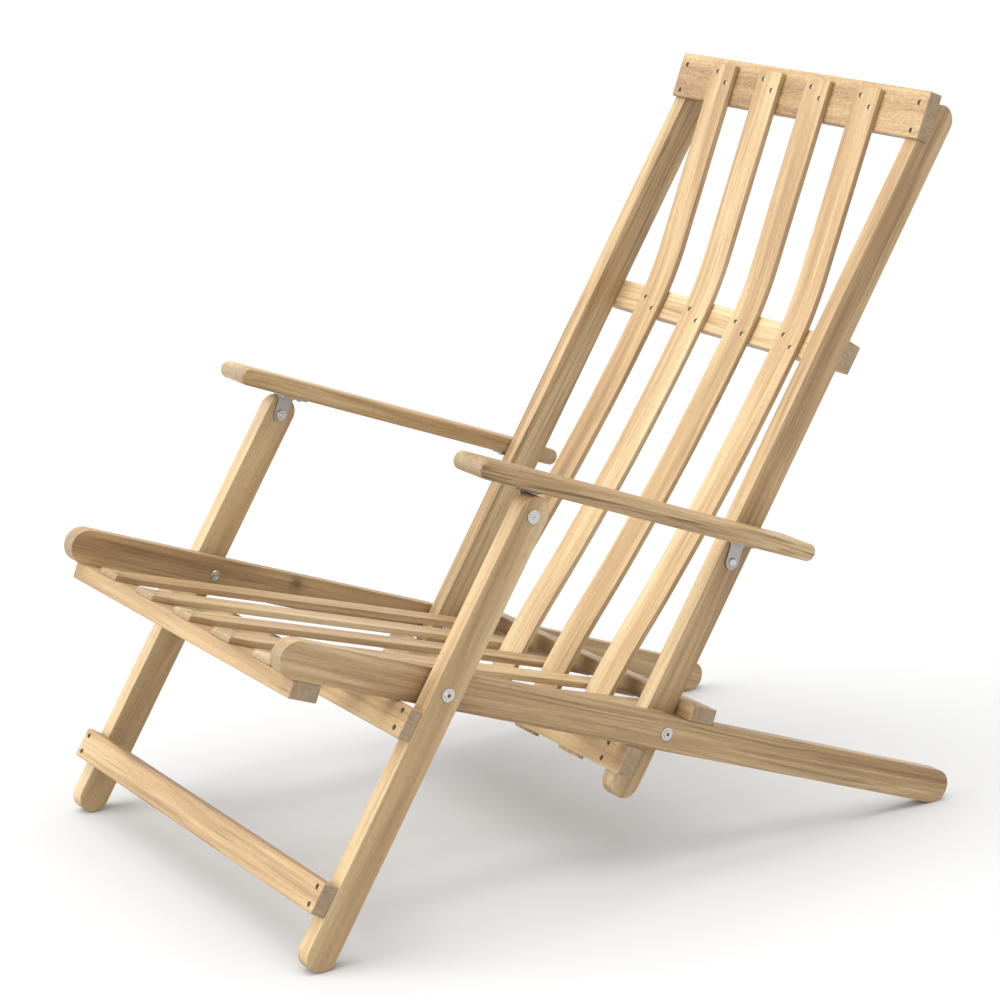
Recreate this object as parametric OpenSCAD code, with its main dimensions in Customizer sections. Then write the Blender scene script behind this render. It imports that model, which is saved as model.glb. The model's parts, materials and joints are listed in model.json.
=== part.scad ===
// Folding deck chair of flat teak boards on stainless pivots.
// Millimetres, +Z up; the sitter faces -Y, so left pieces are at +X.
// Each side is a parallelogram of four pivots: the leg and the back rail are its two equal
// links, and the armrest stays parallel to the seat rail while the chair folds.
// Boards are drawn in their own frame: s runs along the board, n is square to it.

/* [Overall] */
// Slope of the seat rails, falling to the rear, in degrees
seat_slope = 19.8; // [16:0.2:22]
// Angle of the legs and the back from the floor, in degrees
link_angle = 59.25; // [55:0.25:63]
// Height of the leg pivots above the floor
pivot_height = 305.5; // [254:0.5:367]
// Distance along the seat rail from leg pivot to back pivot
pivot_spacing = 360; // [300:1:432]
// Distance from seat pivot to armrest pivot, on leg and back alike
link_length = 228; // [190:1:274]
// Clear width between the seat rails
inner_width = 517; // [430:1:621]

/* [Side boards] */
// Thickness of every side board
board_t = 22; // [18:0.5:27]
// Gap between neighbouring side boards
board_gap = 7.5; // [7:0.1:9]
// Depth of the seat rails
rail_h = 45; // [42:0.5:54]
// Width of the legs and of the back rails
link_w = 42; // [36:0.5:46]
// Reach of the seat rails in front of the leg pivot, to the round end's centre
rail_front = 193; // [180:1:232]
// Length of the back rails above the back pivot, to the round end's centre
back_top = 841; // [701:1:1010]
// Length of the back rails below the back pivot, to the round end's centre
back_bottom = 75.5; // [70:0.5:90]

/* [Bars] */
// Width of the crossbars, along the boards that carry them
bar_w = 39; // [33:0.5:46]
// Width of the top bar
crest_w = 62; // [52:0.5:74]
// Thickness of the top bar
crest_t = 21; // [18:0.5:25]
// Height of the back's middle bar above the back pivot
mid_bar_s = 505; // [421:1:606]

/* [Slats] */
// Thickness of all slats
slat_t = 8; // [7:0.1:9.6]
// Gap between a seat slat and the back slat that folds in beside it
slat_gap = 5.2; // [3:0.1:7]
// Softness of the back slats' bend above the middle bar: 1 is one even curve up to the top bar
crest_bend = 0.51; // [0.43:0.01:0.61]

/* [Armrests] */
// Width of the armrests
arm_w = 60; // [50:0.5:72]
// Thickness of the armrests
arm_t = 22.5; // [19:0.5:27]
// Reach of the armrest in front of its front pivot
arm_front = 93; // [78:1:112]
// Reach of the armrest behind its rear pivot
arm_rear = 75.5; // [63:0.5:90]

/* [Fittings] */
// Diameter of the pivot bolts
pin_d = 8; // [6.7:0.1:9.6]
// Radial running clearance round the pivot bolts
run_clear = 0.05; // [0.02:0.01:0.09]
// Gap between faces that pass each other
pass_gap = 0.3; // [0.25:0.05:0.4]
// Diameter of the pivot heads
head_d = 17; // [15:0.5:20]
// Thickness of the bracket plate
plate_t = 2.5; // [2:0.1:3]

/* [Hidden] */
$fn = 96;
eps = 1;

// side boards, from the middle outwards
seat_in = inner_width / 2;
seat_out = seat_in + board_t;
leg_in = seat_out + board_gap;
leg_out = leg_in + board_t;
back_out = seat_in - board_gap;
back_in = back_out - board_t;
leg_mid = (leg_in + leg_out) / 2;
seat_mid = (seat_in + seat_out) / 2;
back_mid = (back_in + back_out) / 2;

// seat rail: the pivots lie half a millimetre below its middle
rail_low = -22;
rail_mid = rail_low + rail_h / 2;
rail_top = rail_low + rail_h;
rail_rear = (pivot_height + rail_mid * cos(seat_slope) - rail_h / 2) / sin(seat_slope);

// pivots in the room; the front and rear ends are the same distance from the middle
p1_y = -((rail_rear - rail_front) * cos(seat_slope) + 2 * rail_mid * sin(seat_slope)) / 2;
p1_z = pivot_height;
p2_y = p1_y + pivot_spacing * cos(seat_slope);
p2_z = p1_z - pivot_spacing * sin(seat_slope);
p3_y = p1_y + link_length * cos(link_angle);
p3_z = p1_z + link_length * sin(link_angle);
fold_angle = seat_slope + link_angle;

// leg
leg_top = link_length + 3.5;
leg_foot = -(pivot_height - link_w / 2) / sin(link_angle);
edge_n = link_w / 2;

// bars on the front edges of the links stop under the seat rails
low_bar_t = 21;
up_bar_t = 17.5;
foot_bar_t = 23;
function stop_s(n) = (rail_low - pass_gap - n * cos(fold_angle)) / sin(fold_angle);
low_bar_s = leg_foot + 40;
up_bar_s = stop_s(edge_n + up_bar_t) - bar_w;
foot_bar_s = stop_s(edge_n + foot_bar_t) - bar_w;
mid_bar_t = 22;
front_bar_s = -rail_front + 3;
front_bar_t = 22;
rear_bar_t = 21;
rear_bar_n = rail_top - 2.5;
rear_bar_s = pivot_spacing + (edge_n + (rear_bar_n + rear_bar_t) * cos(fold_angle)) / sin(fold_angle) + 0.5;
bar_end = 4.4;
scoop_r = 157;

// slats
nut_t = 2.5;
slat_side_gap = 5.9;
back_extra = 3;
slat_field = back_in - pass_gap - nut_t - slat_side_gap;
slat_pitch = (slat_field + (back_extra + 2 * slat_gap) / 4) / 2.25;
seat_slat_w = (slat_pitch - back_extra - 2 * slat_gap) / 2;
back_slat_w = seat_slat_w + back_extra;
seat_flat_s = front_bar_s + 2.5;

// back slats: flat on the middle bar's lower part, bent forward, straight to the top bar;
// two long bends down to the foot bar
mid_n = -edge_n;
crest_s = back_top - 6.6;
crest_n = edge_n + 11.3;
mid_flat = 10;
bend_start = mid_bar_s + mid_flat;
run_a = crest_s - bend_start;
run_b = crest_n - mid_n;
bend_r = crest_bend * (run_a * run_a + run_b * run_b) / (2 * run_b);
half_turn = (sqrt(run_a * run_a + run_b * (run_b - 2 * bend_r)) - run_a) / (run_b - 2 * bend_r);
crest_tilt = 2 * atan(half_turn);
crest_steps = 12;
crest_lap = crest_w / 2 - 8.5;
low_run = mid_bar_s - foot_bar_s - bar_w;
low_rise = edge_n - (mid_n + slat_t);
low_turn = 2 * atan(low_rise / low_run);
low_r = low_run / sin(low_turn);
low_share = 0.75;
low_steps = 12;
slat_foot_s = foot_bar_s - 4.7;

// armrest
arm_n = 28;
arm_out = leg_out + 3;
arm_in = arm_out - arm_w;
arm_len_s = pivot_spacing + arm_rear;
plate_x = leg_in - pass_gap - plate_t;
rear_plate_x = back_out + pass_gap;
plate_r = 10;
flange_l = 40;
front_flange_in = plate_x - 21.2;
rear_flange_out = rear_plate_x + 23.7;
front_screw_x = plate_x - 14.2;
rear_screw_x = rear_plate_x + 16.7;
plate_screw_s = 11;

// fittings
thread_d = pin_d - 2;
bore_d = pin_d + 2 * run_clear;
flange_t = 1.3;
boss_t = 1.2;
spacer_d = 18;
spacer_t = board_gap - pass_gap;
screw_d = 4;
screw_head_d = 6.8;
screw_head_t = 2.2;
screw_sink = 1.5;
small_d = 3.5;
small_head_d = 6.2;
small_head_t = 2;
small_sink = 0.8;
hole_gap = 0.2;
bar_screw_l = 40;
slat_screw_l = 23;
bar_pair = 11;
slat_pair_x = back_slat_w * 0.24;
slat_pair_s = 6.7;

// ---- frames of the boards ----

module on_seat() { translate([0, p1_y, p1_z]) rotate([-seat_slope, 0, 0]) children(); }
module on_legs() { translate([0, p1_y, p1_z]) rotate([link_angle, 0, 0]) children(); }
module on_back() { translate([0, p2_y, p2_z]) rotate([link_angle, 0, 0]) children(); }
module on_arms() { translate([0, p3_y, p3_z]) rotate([-seat_slope, 0, 0]) children(); }
module on_crest() { on_back() translate([0, crest_s, crest_n]) rotate([crest_tilt, 0, 0]) children(); }

// ---- shapes shared by the pieces ----

// a profile drawn in s and n, as a board from x0 to x0 + t
module slab(x0, t) {
  translate([x0, 0, 0]) rotate([90, 0, 90]) linear_extrude(height = t) children();
}

// the same on the left (side 1) or the right (side -1), from x outwards
module side_slab(side, x, t) {
  slab(side > 0 ? x : -x - t, t) children();
}

// a round rod along x, from x outwards
module rod(side, x, l, d) {
  translate([side > 0 ? x : -x - l, 0, 0]) rotate([0, 90, 0]) cylinder(h = l, d = d);
}

// a round-ended board profile
module stadium(s0, s1, w) {
  translate([s0, -w / 2]) square([s1 - s0, w]);
  translate([s0, 0]) circle(d = w);
  translate([s1, 0]) circle(d = w);
}

// a straight crossbar: half length, lower edge, width, rear face, thickness
module bar(half, s0, w, n0, t) {
  translate([-half, s0, n0]) cube([2 * half, w, t]);
}

// a countersunk screw driven down -Z from a face at z = 0, and the hole for it
module screw(l, d = screw_d, hd = screw_head_d, ht = screw_head_t, sink = screw_sink) {
  translate([0, 0, -sink - ht]) cylinder(h = ht, d = hd);
  translate([0, 0, -l]) cylinder(h = l - sink - ht, d = d);
}

module screw_hole(l, d = screw_d, hd = screw_head_d, ht = screw_head_t, sink = screw_sink) {
  translate([0, 0, -sink - ht]) cylinder(h = ht + sink + eps, d = hd + 2 * hole_gap);
  translate([0, 0, -l - eps]) cylinder(h = l + 2 * eps, d = d + hole_gap);
}

module small_screw() { screw(slat_screw_l, small_d, small_head_d, small_head_t, small_sink); }
module small_hole() { screw_hole(slat_screw_l, small_d, small_head_d, small_head_t, small_sink); }

// two screws at each end of a bar
module end_pairs(x, s, n, d) {
  for (side = [-1, 1], k = [-1, 1]) translate([side * x, s + k * d, n]) children();
}

// the slanted pair of one slat at x
module slat_pair(x, s, n) {
  for (k = [-1, 1]) translate([x + k * slat_pair_x, s - k * slat_pair_s, n]) children();
}

// ---- where the screws go ----

module lower_leg_spots() {
  on_legs() end_pairs(leg_mid, low_bar_s + bar_w / 2, edge_n + low_bar_t, bar_pair) children();
}
module upper_leg_spots() {
  on_legs() end_pairs(leg_mid - 4, up_bar_s + bar_w / 2 + 1, edge_n + up_bar_t, bar_pair) children();
}
module front_bar_spots() {
  on_seat() end_pairs(seat_mid, front_bar_s + bar_w / 2, rail_low - front_bar_t, -bar_pair)
    rotate([180, 0, 0]) children();
}
module rear_bar_spots() {
  on_seat() end_pairs(seat_mid, rear_bar_s + bar_w / 2, rear_bar_n + rear_bar_t, bar_pair) children();
}
module crest_spots() { on_crest() end_pairs(back_mid, -3.5, 0, 18) children(); }
module mid_bar_spots() {
  on_back() end_pairs(back_mid, mid_bar_s + bar_w / 2, mid_n - mid_bar_t, bar_pair)
    rotate([180, 0, 0]) children();
}
module foot_bar_spots() {
  on_back() end_pairs(back_mid, foot_bar_s + bar_w / 2, edge_n + foot_bar_t, 10.5) children();
}
module seat_front_spots(x) {
  on_seat() slat_pair(x, front_bar_s + bar_w / 2, rail_low + slat_t) children();
}
module seat_rear_spots(x) {
  on_seat() slat_pair(x, rear_bar_s + bar_w / 2, rear_bar_n - slat_t) rotate([180, 0, 0]) children();
}
module back_top_spots(x) { on_crest() slat_pair(x, 4, slat_t) children(); }
module back_mid_spots(x) { on_back() slat_pair(x, mid_bar_s + 15, mid_n + slat_t) children(); }
module back_foot_spots(x) {
  on_back() slat_pair(x, foot_bar_s + bar_w / 2, edge_n - slat_t) rotate([180, 0, 0]) children();
}
module arm_spots(side) {
  on_arms() for (k = [-1, 1]) {
    translate([side * front_screw_x, k * plate_screw_s, arm_n - plate_t]) rotate([180, 0, 0]) children();
    translate([side * rear_screw_x, pivot_spacing + k * plate_screw_s, arm_n - plate_t])
      rotate([180, 0, 0]) children();
  }
}

function seat_x(i) = (i - 3) * slat_pitch;
function back_x(i) = (i - 2.5) * slat_pitch;

// ---- seat frame ----

module seat_rail_2d() {
  difference() {
    translate([0, rail_mid]) stadium(-rail_front, rail_rear, rail_h);
    translate([rear_bar_s - 4, rear_bar_n + 0.3 + scoop_r]) circle(r = scoop_r, $fn = 360);
    translate([rear_bar_s, rear_bar_n]) square([bar_w + 0.4, 20]);
    circle(d = bore_d);
    translate([pivot_spacing, 0]) circle(d = bore_d);
  }
}

module seat_rail(side) {
  color("BurlyWood") difference() {
    on_seat() side_slab(side, seat_in, board_t) seat_rail_2d();
    front_bar_spots() screw_hole(bar_screw_l);
    rear_bar_spots() screw_hole(bar_screw_l);
  }
}

module left_seat_rail() { seat_rail(1); }
module right_seat_rail() { seat_rail(-1); }

module seat_front_bar() {
  color("Tan") difference() {
    on_seat() bar(seat_out, front_bar_s, bar_w, rail_low - front_bar_t, front_bar_t);
    front_bar_spots() screw_hole(bar_screw_l);
    for (i = [1:5]) seat_front_spots(seat_x(i)) small_hole();
  }
}

module seat_rear_bar() {
  color("Tan") difference() {
    on_seat() bar(seat_out, rear_bar_s, bar_w, rear_bar_n, rear_bar_t);
    rear_bar_spots() screw_hole(bar_screw_l);
    for (i = [1:5]) seat_rear_spots(seat_x(i)) small_hole();
  }
}

// flat on the front bar, straight up to the rear bar, flat under it
module seat_slat_2d() {
  rear = rear_bar_s;
  low = rail_low;
  high = rear_bar_n - slat_t;
  polygon([[seat_flat_s, low], [front_bar_s + bar_w, low], [rear, high], [rear + bar_w - 2, high],
    [rear + bar_w - 2, high + slat_t], [rear, high + slat_t], [front_bar_s + bar_w, low + slat_t],
    [seat_flat_s + 1.5, low + slat_t], [seat_flat_s, low + slat_t - 2.5]]);
}

module seat_slat(i) {
  color("Wheat") difference() {
    on_seat() slab(seat_x(i) - seat_slat_w / 2, seat_slat_w) seat_slat_2d();
    seat_front_spots(seat_x(i)) small_hole();
    seat_rear_spots(seat_x(i)) small_hole();
  }
}

module seat_slat_1() { seat_slat(1); }
module seat_slat_2() { seat_slat(2); }
module seat_slat_3() { seat_slat(3); }
module seat_slat_4() { seat_slat(4); }
module seat_slat_5() { seat_slat(5); }

module seat_front_bar_screws() { color("Silver") front_bar_spots() screw(bar_screw_l); }
module seat_rear_bar_screws() { color("Silver") rear_bar_spots() screw(bar_screw_l); }
module seat_slat_front_screws() {
  color("Silver") for (i = [1:5]) seat_front_spots(seat_x(i)) small_screw();
}
module seat_slat_rear_screws() {
  color("Silver") for (i = [1:5]) seat_rear_spots(seat_x(i)) small_screw();
}

// ---- pivots on the seat rails ----

// a head with a flat rim, a raised boss and a hex socket, its underside at x
module socket_head(side, x) {
  difference() {
    union() {
      rod(side, x, flange_t, head_d);
      rod(side, x, flange_t + boss_t, head_d * 0.62);
    }
    translate([side * (x + flange_t + boss_t / 2), 0, 0]) rotate([0, 90, 0])
      cylinder(h = 2 * boss_t, d = 5.2, center = true, $fn = 6);
  }
}

// a nut ring against a shoulder, from x inwards
module nut(side, x) {
  difference() {
    rod(side, x - nut_t, nut_t, head_d * 0.82);
    rod(side, x - nut_t - eps, nut_t + 2 * eps, thread_d + hole_gap);
  }
}

module spacer(side, x) {
  difference() {
    rod(side, x, spacer_t, spacer_d);
    rod(side, x - eps, spacer_t + 2 * eps, bore_d);
  }
}

// through the leg and the seat rail; its shoulder lands on the nut behind the rail
module leg_bolt(side) {
  color("Silver") on_seat() {
    socket_head(side, leg_out + pass_gap);
    rod(side, seat_in, leg_out + pass_gap - seat_in, pin_d);
    rod(side, seat_in - nut_t, nut_t, thread_d);
  }
}

module leg_bolts() { for (side = [-1, 1]) leg_bolt(side); }
module leg_nuts() { color("Silver") on_seat() for (side = [-1, 1]) nut(side, seat_in); }

// through the seat rail and the back rail
module back_bolt(side) {
  end_x = back_in - pass_gap;
  color("Silver") on_seat() translate([0, pivot_spacing, 0]) {
    socket_head(side, seat_out);
    rod(side, end_x, seat_out - end_x, pin_d);
    rod(side, end_x - nut_t, nut_t, thread_d);
  }
}

module back_bolts() { for (side = [-1, 1]) back_bolt(side); }
module back_nuts() {
  color("Silver") on_seat() translate([0, pivot_spacing, 0])
    for (side = [-1, 1]) nut(side, back_in - pass_gap);
}

module leg_spacers() {
  color("Gray") on_seat() for (side = [-1, 1]) spacer(side, seat_out);
}
module back_spacers() {
  color("Gray") on_seat() translate([0, pivot_spacing, 0])
    for (side = [-1, 1]) spacer(side, seat_in - spacer_t);
}

// ---- leg frame ----

module leg(side) {
  color("BurlyWood") difference() {
    on_legs() side_slab(side, leg_in, board_t) difference() {
      stadium(leg_foot, leg_top, link_w);
      circle(d = bore_d);
      translate([link_length, 0]) circle(d = bore_d);
    }
    lower_leg_spots() screw_hole(bar_screw_l);
    upper_leg_spots() screw_hole(bar_screw_l);
  }
}

module left_leg() { leg(1); }
module right_leg() { leg(-1); }

module lower_leg_bar() {
  color("Tan") difference() {
    on_legs() bar(leg_out, low_bar_s, bar_w, edge_n, low_bar_t);
    lower_leg_spots() screw_hole(bar_screw_l);
  }
}

module upper_leg_bar() {
  color("Tan") difference() {
    on_legs() bar(leg_out, up_bar_s, bar_w, edge_n, up_bar_t);
    upper_leg_spots() screw_hole(bar_screw_l);
  }
}

module lower_leg_bar_screws() { color("Silver") lower_leg_spots() screw(bar_screw_l); }
module upper_leg_bar_screws() { color("Silver") upper_leg_spots() screw(bar_screw_l); }

// ---- back frame ----

module back_rail_2d() {
  difference() {
    stadium(-back_bottom, back_top, link_w);
    circle(d = bore_d);
    translate([link_length, 0]) circle(d = bore_d);
    translate([crest_s, crest_n]) rotate(crest_tilt)
      translate([-crest_w / 2 - 0.1, -crest_t]) square([crest_w + 60, crest_t + 60]);
  }
}

module back_rail(side) {
  color("BurlyWood") difference() {
    on_back() side_slab(side, back_in, board_t) back_rail_2d();
    crest_spots() screw_hole(crest_t + 13);
    mid_bar_spots() screw_hole(bar_screw_l);
    foot_bar_spots() screw_hole(bar_screw_l);
  }
}

module left_back_rail() { back_rail(1); }
module right_back_rail() { back_rail(-1); }

module back_top_bar() {
  color("Tan") difference() {
    on_crest() bar(back_out + bar_end, -crest_w / 2, crest_w, -crest_t, crest_t);
    crest_spots() screw_hole(crest_t + 13);
    for (i = [1:4]) back_top_spots(back_x(i)) small_hole();
  }
}

module back_mid_bar() {
  color("Tan") difference() {
    on_back() bar(back_out, mid_bar_s, bar_w, mid_n - mid_bar_t, mid_bar_t);
    mid_bar_spots() screw_hole(bar_screw_l);
    for (i = [1:4]) back_mid_spots(back_x(i)) small_hole();
  }
}

module back_bottom_bar() {
  color("Tan") difference() {
    on_back() bar(seat_out - 0.5, foot_bar_s, bar_w, edge_n, foot_bar_t);
    foot_bar_spots() screw_hole(bar_screw_l);
    for (i = [1:4]) back_foot_spots(back_x(i)) small_hole();
  }
}

// points up the rear face of a slat as [s, n, angle], with even steps through its bends
low_bend_r = low_share * low_r + slat_t;
foot_bend_r = (1 - low_share) * low_r - slat_t;
foot_top = foot_bar_s + bar_w;
rear_path = concat(
  [[slat_foot_s, edge_n - slat_t, 0]],
  [for (k = [0:low_steps]) let (b = low_turn * k / low_steps)
    [foot_top + foot_bend_r * sin(b), edge_n - slat_t - foot_bend_r * (1 - cos(b)), -b]],
  [for (k = [1:low_steps]) let (b = low_turn * (1 - k / low_steps))
    [mid_bar_s - low_bend_r * sin(b), mid_n + low_bend_r * (1 - cos(b)), -b]],
  [for (k = [0:crest_steps]) let (b = crest_tilt * k / crest_steps)
    [bend_start + bend_r * sin(b), mid_n + bend_r * (1 - cos(b)), b]],
  [[crest_s + crest_lap * cos(crest_tilt), crest_n + crest_lap * sin(crest_tilt), crest_tilt]]);

module back_slat_2d() {
  last = len(rear_path) - 1;
  front = [for (p = rear_path) [p[0] - slat_t * sin(p[2]), p[1] + slat_t * cos(p[2])]];
  polygon(concat(front, [for (k = [0:last]) let (p = rear_path[last - k]) [p[0], p[1]]]));
}

module back_slat(i) {
  color("Wheat") difference() {
    on_back() slab(back_x(i) - back_slat_w / 2, back_slat_w) back_slat_2d();
    back_top_spots(back_x(i)) small_hole();
    back_mid_spots(back_x(i)) small_hole();
    back_foot_spots(back_x(i)) small_hole();
  }
}

module back_slat_1() { back_slat(1); }
module back_slat_2() { back_slat(2); }
module back_slat_3() { back_slat(3); }
module back_slat_4() { back_slat(4); }

module back_top_bar_screws() { color("Silver") crest_spots() screw(crest_t + 13); }
module back_mid_bar_screws() { color("Silver") mid_bar_spots() screw(bar_screw_l); }
module back_bottom_bar_screws() { color("Silver") foot_bar_spots() screw(bar_screw_l); }
module back_slat_top_screws() {
  color("Silver") for (i = [1:4]) back_top_spots(back_x(i)) small_screw();
}
module back_slat_mid_screws() {
  color("Silver") for (i = [1:4]) back_mid_spots(back_x(i)) small_screw();
}
module back_slat_bottom_screws() {
  color("Silver") for (i = [1:4]) back_foot_spots(back_x(i)) small_screw();
}

// ---- armrests ----

module armrest(side) {
  r = arm_t / 2;
  color("Wheat") difference() {
    on_arms() translate([0, 0, arm_n + r]) side_slab(side, arm_in, arm_w)
      stadium(-arm_front + r, arm_len_s - r, arm_t);
    arm_spots(side) translate([0, 0, -16]) cylinder(h = 16, d = screw_d + hole_gap);
  }
}

module left_armrest() { armrest(1); }
module right_armrest() { armrest(-1); }

// the upright leaf: round foot on the pivot, flaring to the flange
module leaf_2d() {
  flare = 8;
  root = arm_n - plate_t;
  difference() {
    union() {
      circle(r = plate_r);
      translate([-plate_r, 0]) square([2 * plate_r, root + plate_t]);
      translate([-plate_r - flare, root - flare]) square([2 * (plate_r + flare), flare + plate_t]);
    }
    for (k = [-1, 1]) translate([k * (plate_r + flare), root - flare]) circle(r = flare);
    circle(d = bore_d);
  }
}

// x: inner face of the leaf; from, to: reach of the flange
module bracket(side, s, x, from, to) {
  color("Silver") difference() {
    on_arms() translate([0, s, 0]) {
      side_slab(side, x, plate_t) leaf_2d();
      translate([side > 0 ? from : -to, -flange_l / 2, arm_n - plate_t])
        cube([to - from, flange_l, plate_t]);
    }
    arm_spots(side) translate([0, 0, -plate_t - eps])
      cylinder(h = plate_t + 2 * eps, d = screw_d + 2 * hole_gap);
  }
}

module left_arm_front_bracket() { bracket(1, 0, plate_x, front_flange_in, plate_x + plate_t); }
module right_arm_front_bracket() { bracket(-1, 0, plate_x, front_flange_in, plate_x + plate_t); }
module left_arm_rear_bracket() { bracket(1, pivot_spacing, rear_plate_x, rear_plate_x, rear_flange_out); }
module right_arm_rear_bracket() { bracket(-1, pivot_spacing, rear_plate_x, rear_plate_x, rear_flange_out); }

module arm_screws(side) {
  color("Silver") arm_spots(side) {
    cylinder(h = 2, d = 7);
    translate([0, 0, -15.5]) cylinder(h = 16, d = screw_d);
  }
}

module left_arm_screws() { arm_screws(1); }
module right_arm_screws() { arm_screws(-1); }

// front pivot: ringed head outside the leg, shoulder on the nut behind the leaf
module arm_front_bolt(side) {
  x = leg_out + pass_gap;
  color("Silver") on_arms() difference() {
    union() {
      rod(side, x, flange_t, head_d);
      rod(side, x, flange_t + 0.6, head_d * 0.72);
      rod(side, x, flange_t + boss_t, head_d * 0.4);
      rod(side, plate_x, x - plate_x, pin_d);
      rod(side, plate_x - nut_t, nut_t, thread_d);
    }
    rod(side, x + flange_t, 2 * boss_t, 2);
  }
}

module left_arm_front_bolt() { arm_front_bolt(1); }
module right_arm_front_bolt() { arm_front_bolt(-1); }

// rear pivot: small head on the leaf, shoulder on the nut inside the back rail
module arm_rear_bolt(side) {
  x = rear_plate_x + plate_t;
  end_x = back_in - pass_gap;
  color("Silver") on_arms() translate([0, pivot_spacing, 0]) {
    rod(side, x, 2.2, pin_d + 3);
    rod(side, end_x, x - end_x, pin_d);
    rod(side, end_x - nut_t, nut_t, thread_d);
  }
}

module left_arm_rear_bolt() { arm_rear_bolt(1); }
module right_arm_rear_bolt() { arm_rear_bolt(-1); }

module arm_nuts(side) {
  color("Silver") on_arms() {
    nut(side, plate_x);
    translate([0, pivot_spacing, 0]) nut(side, back_in - pass_gap);
  }
}

module left_arm_nuts() { arm_nuts(1); }
module right_arm_nuts() { arm_nuts(-1); }

// ---- one line a node ----

left_seat_rail();
right_seat_rail();
seat_front_bar();
seat_rear_bar();
seat_slat_1();
seat_slat_2();
seat_slat_3();
seat_slat_4();
seat_slat_5();
seat_front_bar_screws();
seat_rear_bar_screws();
seat_slat_front_screws();
seat_slat_rear_screws();
leg_bolts();
leg_nuts();
leg_spacers();
back_bolts();
back_nuts();
back_spacers();
left_leg();
right_leg();
lower_leg_bar();
upper_leg_bar();
lower_leg_bar_screws();
upper_leg_bar_screws();
left_back_rail();
right_back_rail();
back_top_bar();
back_mid_bar();
back_bottom_bar();
back_slat_1();
back_slat_2();
back_slat_3();
back_slat_4();
back_top_bar_screws();
back_mid_bar_screws();
back_bottom_bar_screws();
back_slat_top_screws();
back_slat_mid_screws();
back_slat_bottom_screws();
left_armrest();
left_arm_front_bracket();
left_arm_rear_bracket();
left_arm_screws();
left_arm_front_bolt();
left_arm_rear_bolt();
left_arm_nuts();
right_armrest();
right_arm_front_bracket();
right_arm_rear_bracket();
right_arm_screws();
right_arm_front_bolt();
right_arm_rear_bolt();
right_arm_nuts();
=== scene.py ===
import json
import math
import bmesh
import bpy
from mathutils import Matrix, Vector


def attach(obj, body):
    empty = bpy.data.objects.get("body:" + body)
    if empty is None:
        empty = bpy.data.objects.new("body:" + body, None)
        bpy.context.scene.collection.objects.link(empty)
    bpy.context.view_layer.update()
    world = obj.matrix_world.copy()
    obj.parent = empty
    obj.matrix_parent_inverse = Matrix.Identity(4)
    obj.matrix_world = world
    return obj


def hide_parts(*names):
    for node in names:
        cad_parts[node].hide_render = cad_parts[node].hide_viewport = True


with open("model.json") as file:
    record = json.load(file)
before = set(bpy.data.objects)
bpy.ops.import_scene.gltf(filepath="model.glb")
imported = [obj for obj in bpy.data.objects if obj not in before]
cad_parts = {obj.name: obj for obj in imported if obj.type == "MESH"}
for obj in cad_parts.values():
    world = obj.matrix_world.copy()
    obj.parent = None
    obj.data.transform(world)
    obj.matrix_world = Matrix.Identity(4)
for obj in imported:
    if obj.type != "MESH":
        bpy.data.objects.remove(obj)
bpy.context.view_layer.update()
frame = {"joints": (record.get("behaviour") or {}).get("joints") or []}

scene = bpy.context.scene

# ---------------------------------------------------------------------------------------------
# Viewpoint. A long lens stands a little above the sitter's left knee and looks down at the
# open chair, level to within half a degree.
CAMERA_AT = Vector((2.9372, -1.9747, 1.3831))
TURN, DIP, LEAN = (math.radians(a) for a in (56.456, 15.174, 0.369))
away = Vector((math.sin(TURN) * math.cos(DIP), -math.cos(TURN) * math.cos(DIP), math.sin(DIP)))
side = Vector((math.cos(TURN), math.sin(TURN), 0))
over = away.cross(side)
view_x = side * math.cos(LEAN) + over * math.sin(LEAN)
view_y = over * math.cos(LEAN) - side * math.sin(LEAN)
lens = bpy.data.cameras.new("camera")
lens.lens = 102.8
lens.clip_end = 50
camera = bpy.data.objects.new("camera", lens)
view = Matrix((view_x, view_y, away)).transposed().to_4x4()
camera.matrix_world = Matrix.Translation(CAMERA_AT) @ view
scene.collection.objects.link(camera)
scene.camera = camera

# ---------------------------------------------------------------------------------------------
# Studio. A pale seamless floor under an even white surround, with broad soft light from the
# front and a weaker one from overhead.
scene.view_settings.view_transform = "Standard"
surround = bpy.data.worlds.new("surround")
surround.use_nodes = True
scene.world = surround
surround.node_tree.nodes["Background"].inputs["Color"].default_value = (1.0, 1.0, 1.0, 1)
surround.node_tree.nodes["Background"].inputs["Strength"].default_value = 1.02

floor_mesh = bpy.data.meshes.new("studio_floor")
floor_bm = bmesh.new()
bmesh.ops.create_grid(floor_bm, x_segments=8, y_segments=8, size=14)
floor_bm.to_mesh(floor_mesh)
floor_bm.free()
studio_floor = bpy.data.objects.new("studio_floor", floor_mesh)
scene.collection.objects.link(studio_floor)
floor_paint = bpy.data.materials.new("studio_floor")
floor_paint.use_nodes = True
floor_shader = floor_paint.node_tree.nodes["Principled BSDF"]
floor_shader.inputs["Base Color"].default_value = (0.54, 0.54, 0.54, 1)
floor_shader.inputs["Roughness"].default_value = 0.9
floor_shader.inputs["Specular IOR Level"].default_value = 0.1
floor_mesh.materials.append(floor_paint)


def soft_light(name, way, spread, power):
    """Even light from that direction, softened over so many degrees."""
    light = bpy.data.lights.new(name, "SUN")
    light.angle = math.radians(spread)
    light.energy = power
    lamp = bpy.data.objects.new(name, light)
    lamp.matrix_world = Vector(way).to_track_quat("Z", "Y").to_matrix().to_4x4()
    scene.collection.objects.link(lamp)


soft_light("front_light", (-0.3, -1.0, 0.5), 50, 2.5)
soft_light("top_light", (0.05, -0.1, 1.0), 50, 2.0)

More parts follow.
